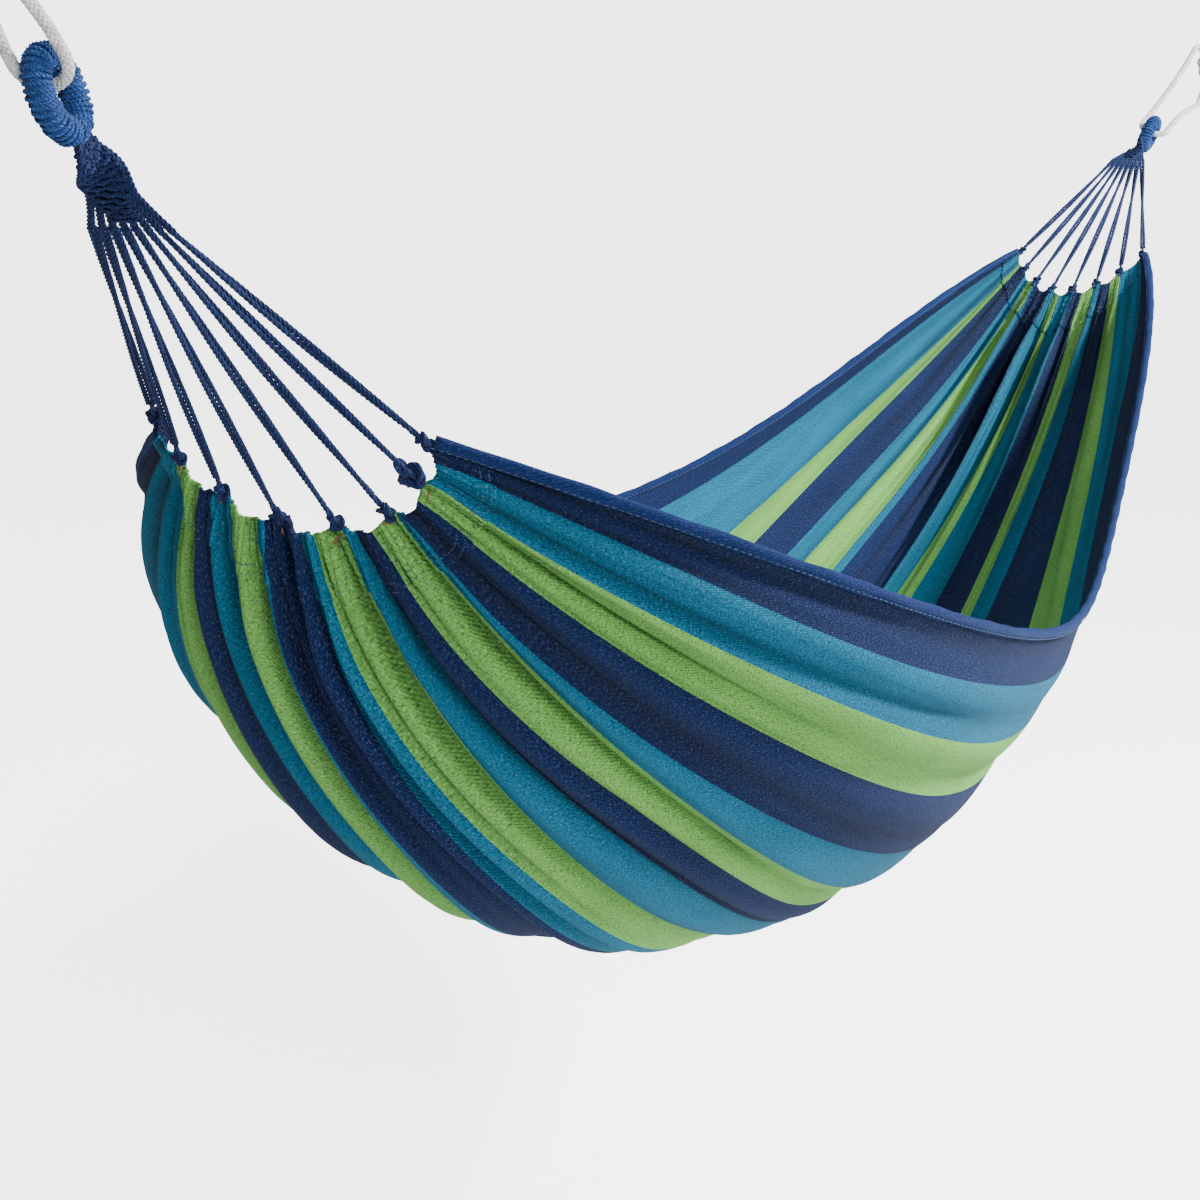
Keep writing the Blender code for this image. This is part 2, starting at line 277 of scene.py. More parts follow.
def place(tree, kind, settings=None, **inputs):
    node = tree.nodes.new(kind)
    for key, value in (settings or {}).items():
        setattr(node, key, value)
    for key, value in inputs.items():
        feed(tree, node.inputs[key.replace("_", " ")], value)
    return node


def feed(tree, socket, value):
    if isinstance(value, bpy.types.NodeSocket):
        tree.links.new(value, socket)
    else:
        socket.default_value = value


def calc(tree, operation, *values):
    node = tree.nodes.new("ShaderNodeMath")
    node.operation = operation
    for socket, value in zip(node.inputs, values):
        feed(tree, socket, value)
    return node.outputs[0]


def times(tree, first, second):
    return calc(tree, "MULTIPLY", first, second)


def vectorCalc(tree, operation, *values):
    node = tree.nodes.new("ShaderNodeVectorMath")
    node.operation = operation
    for i, value in enumerate(values):
        feed(tree, node.inputs["Scale"] if operation == "SCALE" and i else node.inputs[i], value)
    return node.outputs[0]


def circling(tree, angle, radius, frameAxes):
    # a vector of this radius that turns in the plane square to the curve
    normal, side = frameAxes
    first = vectorCalc(tree, "SCALE", normal, times(tree, calc(tree, "COSINE", angle), radius))
    second = vectorCalc(tree, "SCALE", side, times(tree, calc(tree, "SINE", angle), radius))
    return vectorCalc(tree, "ADD", first, second)


def curveFrame(tree):
    normal = place(tree, "GeometryNodeInputNormal").outputs[0]
    tangent = place(tree, "GeometryNodeInputTangent").outputs[0]
    return normal, vectorCalc(tree, "CROSS_PRODUCT", tangent, normal)


def tube(tree, curve, radius, sides):
    profile = place(tree, "GeometryNodeCurvePrimitiveCircle", Resolution=sides, Radius=radius).outputs[0]
    return place(tree, "GeometryNodeCurveToMesh", Curve=curve, Profile_Curve=profile, Fill_Caps=True).outputs[0]


def finishTree(tree, given, geometry):
    smooth = place(tree, "GeometryNodeSetShadeSmooth", Geometry=geometry).outputs[0]
    real = place(tree, "GeometryNodeRealizeInstances", Geometry=smooth).outputs[0]
    done = place(tree, "GeometryNodeSetMaterial", Geometry=real, Material=given["Finish"]).outputs[0]
    tree.links.new(done, place(tree, "NodeGroupOutput").inputs[0])
    return tree


def copiedCurve(tree, given, count):
    # the line in even steps, and numbered copies of it
    curve = place(tree, "GeometryNodeMeshToCurve", Mesh=given["Geometry"]).outputs[0]
    curve = place(tree, "GeometryNodeResampleCurve", {"mode": "LENGTH"}, Curve=curve, Length=given["Step"]).outputs[0]
    copies = place(tree, "GeometryNodeDuplicateElements", {"domain": "SPLINE"}, Geometry=curve, Amount=count).outputs
    return curve, copies["Geometry"], copies["Duplicate Index"]


def buildWoundCord():
    # plies wound into strands, and the strands wound round each other
    tree, given = newTree("woundCord", {
        "Strands": 2, "Plies": 2, "Strand Offset": 0.0017, "Ply Offset": 0.0008, "Strand Pitch": 0.30,
        "Ply Pitch": 0.008, "Ply Radius": 0.0009, "Step": 0.0008, "Sides": 6})
    _, copies, number = copiedCurve(tree, given, times(tree, given["Strands"], given["Plies"]))
    strand = calc(tree, "FLOOR", calc(tree, "DIVIDE", calc(tree, "ADD", number, 0.5), given["Plies"]))
    ply = calc(tree, "SUBTRACT", number, times(tree, strand, given["Plies"]))
    run = place(tree, "GeometryNodeSplineParameter").outputs["Length"]
    axes = curveFrame(tree)
    turns = []
    for index, total, pitch in ((strand, "Strands", "Strand Pitch"), (ply, "Plies", "Ply Pitch")):
        share = calc(tree, "DIVIDE", index, given[total])
        turn = calc(tree, "ADD", share, calc(tree, "DIVIDE", run, given[pitch]))
        turns.append(times(tree, turn, 2 * math.pi))
    shift = vectorCalc(tree, "ADD", circling(tree, turns[0], given["Strand Offset"], axes),
                       circling(tree, turns[1], given["Ply Offset"], axes))
    wound = place(tree, "GeometryNodeSetPosition", Geometry=copies, Offset=shift).outputs[0]
    return finishTree(tree, given, tube(tree, wound, given["Ply Radius"], given["Sides"]))


def buildBraidedRope():
    # half of the carriers go round one way and half the other, over and under in turn
    tree, given = newTree("braidedRope", {
        "Carriers": 6, "Offset": 0.0029, "Weave": 0.0003, "Pitch": 0.026, "Ply Radius": 0.00115,
        "Core Radius": 0.0031, "Step": 0.0009, "Sides": 5})
    curve, copies, number = copiedCurve(tree, given, times(tree, given["Carriers"], 2))
    hand = calc(tree, "SUBTRACT", 1, times(tree, calc(tree, "MODULO", number, 2), 2))
    share = calc(tree, "DIVIDE", calc(tree, "FLOOR", calc(tree, "DIVIDE", calc(tree, "ADD", number, 0.5), 2)),
                 given["Carriers"])
    run = calc(tree, "DIVIDE", place(tree, "GeometryNodeSplineParameter").outputs["Length"], given["Pitch"])
    turn = times(tree, calc(tree, "ADD", share, times(tree, run, hand)), 2 * math.pi)
    wave = calc(tree, "COSINE", times(tree, times(tree, run, given["Carriers"]), 2 * math.pi))
    radius = calc(tree, "ADD", given["Offset"], times(tree, times(tree, wave, hand), given["Weave"]))
    moved = place(tree, "GeometryNodeSetPosition", Geometry=copies,
                  Offset=circling(tree, turn, radius, curveFrame(tree))).outputs[0]
    plies = tube(tree, moved, given["Ply Radius"], given["Sides"])
    core = tube(tree, curve, given["Core Radius"], 10)
    both = place(tree, "GeometryNodeJoinGeometry")
    for part in (plies, core):
        tree.links.new(part, both.inputs[0])
    return finishTree(tree, given, both.outputs[0])


def buildStitchRow():
    tree, given = newTree("stitchRow", {"Pitch": 0.004, "Stitch Length": 0.0029, "Thread": 0.0009})
    curve = place(tree, "GeometryNodeMeshToCurve", Mesh=given["Geometry"]).outputs[0]
    spots = place(tree, "GeometryNodeCurveToPoints", {"mode": "LENGTH"}, Curve=curve, Length=given["Pitch"])
    ball = place(tree, "GeometryNodeMeshUVSphere", Segments=6, Rings=5, Radius=0.5).outputs[0]
    size = place(tree, "ShaderNodeCombineXYZ", X=given["Thread"], Y=given["Thread"], Z=given["Stitch Length"])
    stitched = place(tree, "GeometryNodeInstanceOnPoints", Points=spots.outputs["Points"], Instance=ball,
                     Rotation=spots.outputs["Rotation"], Scale=size.outputs[0]).outputs[0]
    return finishTree(tree, given, stitched)


def addObject(name, data):
    made = bpy.data.objects.new(name, data)
    bpy.context.scene.collection.objects.link(made)
    return made


def growAlong(name, lines, tree, sizes, finish):
    # runs a tree over polylines, each a list of points and whether it is a loop
    points, edges = [], []
    for line, closed in lines:
        first = len(points)
        points += [tuple(map(float, p)) for p in line]
        edges += [(first + i, first + i + 1) for i in range(len(line) - 1)]
        if closed:
            edges.append((len(points) - 1, first))
    mesh = bpy.data.meshes.new(name + "_line")
    mesh.from_pydata(points, edges, [])
    guide = addObject(name + "_guide", mesh)
    grower = guide.modifiers.new("grow", "NODES")
    grower.node_group = tree
    given = {**sizes, "Finish": finish}
    for item in tree.interface.items_tree:
        if item.in_out == "INPUT" and item.name in given:
            grower[item.identifier] = given[item.name]
    made = plainMesh(guide, name, finish)
    bpy.data.objects.remove(guide, do_unlink=True)
    return made


def plainMesh(source, name, finish):
    graph = bpy.context.evaluated_depsgraph_get()
    mesh = bpy.data.meshes.new_from_object(source.evaluated_get(graph), depsgraph=graph)
    mesh.name = name
    mesh.materials.clear()
    mesh.materials.append(finish)
    return addObject(name, mesh)


def meshPiece(name, points, faces, finish, uv=None):
    mesh = bpy.data.meshes.new(name)
    mesh.from_pydata([tuple(p) for p in points.tolist()], [], faces)
    if uv is not None:
        layer = mesh.uv_layers.new(name="UVMap")
        corners = np.empty(len(mesh.loops), dtype=np.int32)
        mesh.loops.foreach_get("vertex_index", corners)
        layer.data.foreach_set("uv", uv[corners].ravel())
    mesh.shade_smooth()
    mesh.materials.append(finish)
    return addObject(name, mesh)


def gridFaces(rows, columns, wrap=False):
    faces = []
    for i in range(rows - 1):
        for j in range(columns if wrap else columns - 1):
            k = (j + 1) % columns
            faces.append((i * columns + j, i * columns + k, (i + 1) * columns + k, (i + 1) * columns + j))
    return faces


def belongs(piece, body, slot, *nodes):
    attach(piece, body)
    if nodes:
        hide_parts(*nodes)


def shaderGroup(name, inputs):
    tree = bpy.data.node_groups.new(name, "ShaderNodeTree")
    for label, (kind, value) in inputs.items():
        socket = tree.interface.new_socket(label, in_out="INPUT", socket_type="NodeSocket" + kind)
        if value is not None:
            socket.default_value = value
    for label, kind in (("Color", "Color"), ("Height", "Float"), ("Roughness", "Float")):
        tree.interface.new_socket(label, in_out="OUTPUT", socket_type="NodeSocket" + kind)
    return tree, tree.nodes.new("NodeGroupInput").outputs, tree.nodes.new("NodeGroupOutput").inputs


def mixColours(tree, factor, first, second, blend="MIX"):
    node = tree.nodes.new("ShaderNodeMix")
    node.data_type, node.blend_type = "RGBA", blend
    for socket, value in ((node.inputs[0], factor), (node.inputs[6], first), (node.inputs[7], second)):
        feed(tree, socket, value)
    return node.outputs[2]


def noise(tree, vector, scale, detail=2.0, roughness=0.5, stretch=None):
    if stretch:
        vector = place(tree, "ShaderNodeMapping", Vector=vector, Scale=stretch).outputs[0]
    given = {"Vector": vector, "Scale": scale, "Detail": detail, "Roughness": roughness}
    return place(tree, "ShaderNodeTexNoise", **given).outputs["Fac"]


def spread(tree, value, low, high, toLow=0.0, toHigh=1.0):
    node = tree.nodes.new("ShaderNodeMapRange")
    for socket, number in zip(node.inputs, (value, low, high, toLow, toHigh)):
        feed(tree, socket, number)
    return node.outputs[0]


twill = {
    "yarn": {"stretch": (1.0, 0.50, 1.0), "scale": 820, "detail": 3.0, "roughness": 0.66},
    "weft": {"stretch": (0.40, 1.0, 1.0), "scale": 760, "detail": 2.0, "roughness": 0.64},
    "worn": {"stretch": (1.0, 0.25, 1.0), "scale": 30, "detail": 3.0, "roughness": 0.60},
    "paleFrom": (0.50, 0.72), "paleShare": 0.80, "paleGain": (2.4, 2.1, 2.1, 1),
    "paleCast": (0.70, 0.90, 0.95, 1), "castShare": 0.10, "darkFrom": (0.50, 0.30),
    "darkCast": (0.0, 0.004, 0.02, 1), "darkShare": 0.75, "wornRange": (0.86, 1.12),
    "ribsAcross": 2600,  # radians to a metre of cloth
    "ribsAlong": 1500, "yarnHeight": 1.6, "matt": (0.72, 0.95),
}


def buildHeather():
    # a matt yarn-dyed twill: pale and dark flecks along the threads, and fine slanting ribs
    tree, given, out = shaderGroup("heatherTwill", {
        "Vector": ("Vector", None), "Dye": ("Color", (0.1, 0.1, 0.4, 1)),
        "Flecks": ("Float", 0.5), "Rib": ("Float", 1.0)})
    dye = given["Dye"]
    yarn, weft, worn = (noise(tree, given["Vector"], **twill[key]) for key in ("yarn", "weft", "worn"))
    pale = times(tree, spread(tree, yarn, *twill["paleFrom"]), given["Flecks"])
    dark = times(tree, spread(tree, weft, *twill["darkFrom"]), given["Flecks"])
    paleDye = mixColours(tree, 1.0, dye, twill["paleGain"], "MULTIPLY")
    paleDye = mixColours(tree, twill["castShare"], paleDye, twill["paleCast"])
    darkDye = mixColours(tree, twill["darkShare"], dye, twill["darkCast"])
    colour = mixColours(tree, times(tree, pale, twill["paleShare"]), dye, paleDye)
    colour = mixColours(tree, dark, colour, darkDye)
    colour = mixColours(tree, 1.0, colour, spread(tree, worn, 0.3, 0.7, *twill["wornRange"]), "MULTIPLY")
    at = place(tree, "ShaderNodeSeparateXYZ", Vector=given["Vector"]).outputs
    slant = calc(tree, "ADD", times(tree, at[0], twill["ribsAcross"]), times(tree, at[1], twill["ribsAlong"]))
    rib = times(tree, spread(tree, calc(tree, "SINE", slant), -1, 1), given["Rib"])
    tree.links.new(colour, out["Color"])
    tree.links.new(calc(tree, "ADD", rib, times(tree, yarn, twill["yarnHeight"])), out["Height"])
    tree.links.new(spread(tree, weft, 0.3, 0.7, *twill["matt"]), out["Roughness"])
    return tree


spun = {
    "fibre": {"scale": 1500, "detail": 3.0, "roughness": 0.65},
    "patch": {"scale": 140},
    "flecksFrom": (0.52, 0.74), "patchRange": (0.74, 1.18), "matt": (0.60, 0.85),
}


def buildFibre():
    # spun thread: short pale fibres, and broader patches that took more or less dye
    tree, given, out = shaderGroup("spunFibre", {
        "Vector": ("Vector", None), "Dye": ("Color", (0.1, 0.1, 0.4, 1)),
        "Fleck": ("Color", (0.3, 0.4, 0.7, 1)), "Grain": ("Float", 1.0)})
    strands, patch = (noise(tree, given["Vector"], **spun[key]) for key in ("fibre", "patch"))
    flecks = times(tree, spread(tree, strands, *spun["flecksFrom"]), given["Grain"])
    colour = mixColours(tree, flecks, given["Dye"], given["Fleck"])
    colour = mixColours(tree, 1.0, colour, spread(tree, patch, 0.3, 0.7, *spun["patchRange"]), "MULTIPLY")
    tree.links.new(colour, out["Color"])
    tree.links.new(strands, out["Height"])
    tree.links.new(spread(tree, patch, 0.3, 0.7, *spun["matt"]), out["Roughness"])
    return tree


softShine = {"Sheen Roughness": 0.45, "Specular IOR Level": 0.15}


def newMaterial(name, roughness, sheen, sheenTint):
    material = bpy.data.materials.new(name)
    material.use_nodes = True
    tree = material.node_tree
    shader = tree.nodes["Principled BSDF"]
    given = {"Roughness": roughness, "Sheen Weight": sheen, "Sheen Tint": sheenTint, **softShine}
    for label, value in given.items():
        shader.inputs[label].default_value = value
    return material, tree, shader, tree.nodes.new("ShaderNodeTexCoord").outputs


def effect(tree, group, **inputs):
    return place(tree, "ShaderNodeGroup", {"node_tree": group}, **inputs).outputs


def dress(tree, shader, outputs, depth, strength=0.8):
    tree.links.new(outputs["Color"], shader.inputs["Base Color"])
    tree.links.new(outputs["Roughness"], shader.inputs["Roughness"])
    bump = place(tree, "ShaderNodeBump", Height=outputs["Height"], Distance=depth, Strength=strength)
    tree.links.new(bump.outputs[0], shader.inputs["Normal"])


def canvasMaterial(name, depth):
    material, tree, shader, coordinates = newMaterial(name, 0.85, 0.02, (0.70, 0.85, 1.0, 1))
    uv = coordinates["UV"]
    across = place(tree, "ShaderNodeSeparateXYZ", Vector=uv).outputs[0]
    ramp = tree.nodes.new("ShaderNodeValToRGB")
    ramp.color_ramp.interpolation = "CONSTANT"
    band = ramp.color_ramp.elements
    for i, letter in enumerate(stripes["order"]):
        start = (flatBorders[i] + 1) / 2
        stop = band[i] if i < 2 else band.new(start)  # a new ramp has two stops
        stop.position = start
        stop.color = (*dyes[letter], 1)
    tree.links.new(calc(tree, "DIVIDE", across, bed["width"]), ramp.inputs[0])
    # painted shade: the stripes' colour is darkened in the bottom of each fold, so dye below holds the shaded colour
    valley = place(tree, "ShaderNodeAttribute", {"attribute_name": "valley"}).outputs["Fac"]
    shade = spread(tree, valley, 0, 1, 1.0, folds["valleyShade"])
    dye = mixColours(tree, 1.0, ramp.outputs[0], shade, "MULTIPLY")
    dress(tree, shader, effect(tree, heather, Vector=uv, Dye=dye, Flecks=1.0, Rib=1.0), depth)
    return material


def plainCloth(name, dye, flecks, rib, depth):
    material, tree, shader, coordinates = newMaterial(name, 0.85, 0.06, (0.5, 0.68, 1.0, 1))
    cloth = effect(tree, heather, Vector=coordinates["UV"], Dye=(*dye, 1), Flecks=flecks, Rib=rib)
    dress(tree, shader, cloth, depth)
    return material


def threadMaterial(name, dye, fleck, grain, depth, sheen=0.25):
    material, tree, shader, coordinates = newMaterial(name, 0.7, sheen, (0.8, 0.88, 1.0, 1))
    thread = effect(tree, fibre, Vector=coordinates["Object"], Dye=(*dye, 1), Fleck=(*fleck, 1), Grain=grain)
    dress(tree, shader, thread, depth)
    return material


heather, fibre = buildHeather(), buildFibre()
woundCord, braidedRope, stitchRow = buildWoundCord(), buildBraidedRope(), buildStitchRow()
stripedCanvas = canvasMaterial("striped_canvas", depth=0.0005)
hemCanvas = canvasMaterial("gathered_hem_canvas", depth=0.0006)
navyHem = plainCloth("navy_hem", dye=(0.002, 0.016, 0.095), flecks=0.6, rib=1.4, depth=0.0005)
navyCord = threadMaterial("navy_cord", dye=(0.004, 0.009, 0.055), fleck=(0.06, 0.13, 0.36), grain=0.9,
                          depth=0.0003, sheen=0.08)
# painted highlight: the eye's cord is a lighter copy of the navy cord, standing in for the sheen the eye catches
highlitEyeCord = threadMaterial("navy_cord_painted_highlight", dye=(0.006, 0.036, 0.170), fleck=(0.12, 0.32, 0.70), grain=0.9,
                         depth=0.0003, sheen=0.15)
whiteRope = threadMaterial("white_rope", dye=(0.62, 0.61, 0.60), fleck=(0.86, 0.85, 0.84), grain=0.6,
                           depth=0.0002, sheen=0.15)
hemThread = threadMaterial("hem_thread", dye=(0.03, 0.07, 0.16), fleck=(0.20, 0.32, 0.45), grain=0.9, depth=0.0002)
endThread = threadMaterial("end_thread", dye=(0.22, 0.045, 0.030), fleck=(0.55, 0.20, 0.10), grain=0.8, depth=0.0002)
print("materials ready")


sideHem = {
    "radius": 0.005, "thickness": 0.0042,
    "overlap": 0.001,  # how far the canvas runs into the roll
    "width": 1.05,
    "inside": 0.97,  # where the cloth's slope beside the roll is taken
    "reach": 0.997, "points": 420, "sides": 14,
    "lip": 0.10,  # the ridge where the cloth is turned under
    "lipTurn": 0.9, "stitchIn": 0.55, "stitchOut": 0.93,
    "stitch": {"Pitch": 0.0060, "Stitch Length": 0.0042, "Thread": 0.0009},
}


def innerEdge(t):
    # how far across the canvas runs, in half widths, before it goes into a side hem
    step = 0.02
    lengthways = unit(bedPoint(t + step, 1) - bedPoint(t - step, 1))
    crossways = bedPoint(t, 1) - bedPoint(t, 1 - step)
    square = crossways - lengthways * np.sum(crossways * lengthways, -1, keepdims=True)
    return 1 - (sideHem["radius"] - sideHem["overlap"]) * step / np.linalg.norm(square, axis=-1)


def clothGrid(stations, columns, lift=None):
    # each column keeps to one thread of the uncut cloth
    thread = np.linspace(-1, 1, columns)
    v = innerEdge(stations)[:, None] * np.stack([np.interp(thread, flatBorders, bordersAt(t)) for t in stations])
    t = np.broadcast_to(stations[:, None], v.shape)
    points = clothPoint(t, v, lift(t, v) if lift else 0.0)
    uv = np.stack((np.broadcast_to((thread + 1) * bed["width"] / 2, v.shape), (t + 1) * bed["length"] / 2), -1)
    # and how much painted shade each point takes in the bottom of a fold
    return points.reshape(-1, 3), uv.reshape(-1, 2), paintedFoldShade(t, v).ravel()


def markPaintedShade(piece, valleys):
    # painted shade: the fold-valley mask is stored on the points as the valley attribute, which darkens the canvas
    marks = piece.data.attributes.new("valley", "FLOAT", "POINT")
    marks.data.foreach_set("value", valleys.astype(np.float32))
    return piece


def thicken(piece, amount, finish):
    shell = piece.modifiers.new("thickness", "SOLIDIFY")
    shell.thickness = amount
    shell.offset = 0
    made = plainMesh(piece, piece.name + "_solid", finish)
    name = piece.name
    bpy.data.objects.remove(piece, do_unlink=True)
    made.name = name
    made.data.name = name
    return made


def makeCloth():
    ends = 1 - bed["hemDepth"] + bed["hemOverlap"]
    even = np.linspace(-1, 1, bed["rows"])
    stations = ends * np.sign(even) * (1 - (1 - np.abs(even)) ** bed["crowding"])
    points, uv, valleys = clothGrid(stations, bed["columns"])
    faces = gridFaces(bed["rows"], bed["columns"])
    # the bed cloth carries painted shade in the bottom of its folds
    cloth = markPaintedShade(meshPiece("bed_cloth_canvas", points, faces, stripedCanvas, uv), valleys)
    cloth = thicken(cloth, bed["thickness"], stripedCanvas)
    belongs(cloth, "hammock", "striped_canvas", "bed_cloth")
    return cloth


hemBand = {
    "rows": 22, "columns": 1100, "thickness": 0.0026,
    "gathers": 13,  # small pleats to a panel
    "ribHeight": 0.0011, "ribPitch": 0.0052, "stitchRows": (0.026, 0.031), "stitchReach": 0.975,
    "stitchPoints": 420, "stitchOut": 0.55,
    "stitch": {"Pitch": 0.0042, "Stitch Length": 0.0032, "Thread": 0.0010},
}


def hemRibs(t, v):
    # the gathers are tightest beside each knot
    panel = knotNumber(v)
    near = 0.5 + 0.5 * np.cos(2 * math.pi * panel)
    fromEnd = 1 - np.abs(t)
    ripple = np.sin(2 * math.pi * panel * hemBand["gathers"] + 1.5 * np.sin(7 * panel) + 6 * fromEnd)
    across = np.sin(2 * math.pi * fromEnd / hemBand["ribPitch"] + 3 * np.sin(5 * panel))
    return hemBand["ribHeight"] * (ripple * (0.45 + 0.55 * near) + 0.45 * across * near)


def makeHemBand(end):
    stations = end.side * np.linspace(1 - bed["hemDepth"], 1, hemBand["rows"])
    stations = stations if end.side > 0 else stations[::-1]
    points, uv, valleys = clothGrid(stations, hemBand["columns"], hemRibs)
    faces = gridFaces(hemBand["rows"], hemBand["columns"])
    # the gathered hem carries the same painted shade in the bottom of its folds
    band = markPaintedShade(meshPiece(end.name + "_gathered_hem", points, faces, hemCanvas, uv), valleys)
    band = thicken(band, hemBand["thickness"], hemCanvas)
    belongs(band, "hammock", "striped_canvas", end.name + "_end_hem")
    rows = []
    v = np.linspace(-hemBand["stitchReach"], hemBand["stitchReach"], hemBand["stitchPoints"])
    for depth in hemBand["stitchRows"]:
        t = np.full_like(v, end.side * (1 - depth))
        for face in (-1, 1):
            out = face * hemBand["thickness"] * hemBand["stitchOut"]
            rows.append((clothPoint(t, v, hemRibs(t, v) + out), False))
    stitches = growAlong(end.name + "_hem_stitches", rows, stitchRow, hemBand["stitch"], hemThread)
    belongs(stitches, "hammock", "navy_hem")
    return band


def makeSideHem(name, node, side):
    count, sides = sideHem["points"], sideHem["sides"]
    t = np.linspace(-sideHem["reach"], sideHem["reach"], count)
    line = clothPoint(t, np.full_like(t, side))
    ahead = unit(np.gradient(line, axis=0))
    inward = clothPoint(t, np.full_like(t, side * sideHem["inside"])) - line
    inward = unit(inward - ahead * np.sum(inward * ahead, -1, keepdims=True))
    through = np.cross(ahead, inward)
    # rolled by hand, so a little uneven
    wide = sideHem["radius"] * sideHem["width"] * (1 + 0.07 * np.sin(t * 61 + 1.1) + 0.05 * np.sin(t * 143))
    deep = sideHem["thickness"] * (1 + 0.10 * np.sin(t * 97 + 2))
    points, uv = [], []
    for turn in np.linspace(0, 2 * math.pi, sides, endpoint=False):
        lip = 1 + sideHem["lip"] * max(0.0, math.cos(turn - sideHem["lipTurn"])) ** 6
        sideways = inward * (wide * lip * math.cos(turn))[:, None]
        points.append(line + sideways + through * (deep * lip * math.sin(turn))[:, None])
        uv.append(np.stack((np.full_like(t, turn * sideHem["radius"]), (t + 1) * bed["length"] / 2), -1))
    points, uv = np.stack(points, 1).reshape(-1, 3), np.stack(uv, 1).reshape(-1, 2)
    faces = gridFaces(count, sides, wrap=True)
    faces.append(tuple(range(sides))[::-1])
    faces.append(tuple((count - 1) * sides + i for i in range(sides)))
    hem = meshPiece(name, points, faces, navyHem, uv)
    seat = line + inward * sideHem["radius"] * sideHem["stitchIn"]
    rows = [(seat + through * face * sideHem["thickness"] * sideHem["stitchOut"], False) for face in (-1, 1)]
    stitches = growAlong(name + "_stitches", rows, stitchRow, sideHem["stitch"], hemThread)
    belongs(hem, "hammock", "navy_hem", node)
    belongs(stitches, "hammock", "navy_hem")
    return hem


# the cords' own winding, and what differs from it in the eyes, clews, knots and thread ends
wind = {"Strands": 2, "Plies": 3, "Strand Offset": 0.0019, "Ply Offset": 0.00105, "Strand Pitch": 0.42,
        "Ply Pitch": 0.0125, "Ply Radius": 0.00112, "Step": 0.0010, "Sides": 6}

eye = {
    "halfLength": 0.0245, "halfWidth": 0.0170, "bundle": 0.0100, "wrapCord": 0.0016,
    "wrapDepth": 0.0021, "turns": 37, "pointsPerTurn": 14, "rings": 72, "sides": 14, "swell": 0.04,
    "wind": {"Strands": 1, "Plies": 2, "Strand Offset": 0.0, "Ply Pitch": 0.0055, "Ply Offset": 0.00075,
             "Ply Radius": 0.00095, "Step": 0.0011},
}


def ringAt(end, turn):
    # the middle line of the eye's bundle, and the directions out of the ring
    away, aside = np.cos(turn), np.sin(turn)
    middle = end.centre + np.outer(away, end.out) * eye["halfLength"] + np.outer(aside, end.across) * eye["halfWidth"]
    outward = np.outer(away * eye["halfWidth"], end.out) + np.outer(aside * eye["halfLength"], end.across)
    return middle, unit(outward)


def makeEye(end):
    turn = np.linspace(0, 2 * math.pi, eye["turns"] * eye["pointsPerTurn"], endpoint=False)
    middle, outward = ringAt(end, turn)
    spin = turn * eye["turns"] + 0.12 * np.sin(5 * turn)
    radius = eye["bundle"] - eye["wrapCord"] + 0.0004 * np.sin(turn * eye["turns"] * 0.37)
    helix = middle + outward * (np.cos(spin) * radius)[:, None] + np.outer(np.sin(spin) * radius, end.through)
    wrap = growAlong(end.name + "_eye_wrap", [(helix, True)], woundCord, dict(wind, **eye["wind"]), highlitEyeCord)
    belongs(wrap, "hammock", "navy_cord")
    rings, sides = eye["rings"], eye["sides"]
    turn = np.linspace(0, 2 * math.pi, rings, endpoint=False)
    middle, outward = ringAt(end, turn)
    points = []
    for k in range(sides):
        a = 2 * math.pi * k / sides
        swell = (eye["bundle"] - eye["wrapDepth"]) * (1 + eye["swell"] * np.sin(9 * turn + k))
        points.append(middle + outward * (swell * math.cos(a))[:, None] + np.outer(swell * math.sin(a), end.through))
    faces = gridFaces(rings, sides, wrap=True)
    last = (rings - 1) * sides
    faces += [(last + j, last + (j + 1) % sides, (j + 1) % sides, j) for j in range(sides)]
    bundle = meshPiece(end.name + "_eye_bundle", np.stack(points, 1).reshape(-1, 3), faces, highlitEyeCord)
    belongs(bundle, "hammock", "navy_cord", end.name + "_eye")


cords = {"radius": 0.0040, "spread": 0.86, "sag": 0.0012, "points": 24}

clew = {
    "length": 0.066, "topWidth": 0.030, "topThickness": 0.019, "endWidth": 0.080,
    "endThickness": 0.014, "gap": 0.0003,
    "untwist": 1.6,  # it is flat again before its cords leave it
    "gathered": {-1: 1.0, 1: 0.62},  # how close together the cords lie, against the full width
    "topDrawn": 0.72, "openBy": 0.8, "waist": 0.20,  # the width of the weave below the eye and half way down
    "cordSpan": (-0.20, 1.03), "cordPoints": 30, "pair": 0.045, "pairDepth": 0.8,
    "stack": 0.20,  # how far the two cords of a pair lie over each other at the eye
    "stray": 0.10,
    "wefts": 14, "weftSpan": (0.06, 0.90), "weftPoints": 112, "weftDrift": 0.012,
    "weftWidth": 0.88,
    "taper": (1.10, 0.95),  # the widest row, and how much the rows lose on the way down
    "weftDepth": 0.26, "weave": 0.14, "flatness": 2.2,
    "wind": {"Strands": 1, "Plies": 2, "Strand Offset": 0.0, "Ply Pitch": 0.0075, "Ply Offset": 0.0008,
             "Ply Radius": 0.00105, "Step": 0.0011},
}


def clewFrame(end, share):
    top = eye["halfLength"] + eye["bundle"] + clew["gap"]
    centre = end.centre - end.out * (top + clew["length"] * share)
    turn = (math.pi / 2 - end.twist) * ease(share * clew["untwist"])
    across = end.across * math.cos(turn) - end.through * math.sin(turn)
    through = end.through * math.cos(turn) + end.across * math.sin(turn)
    width = clew["topWidth"] + (clew["endWidth"] - clew["topWidth"]) * share
    thickness = clew["topThickness"] + (clew["endThickness"] - clew["topThickness"]) * share
    return centre, across * width / 2, through * thickness / 2


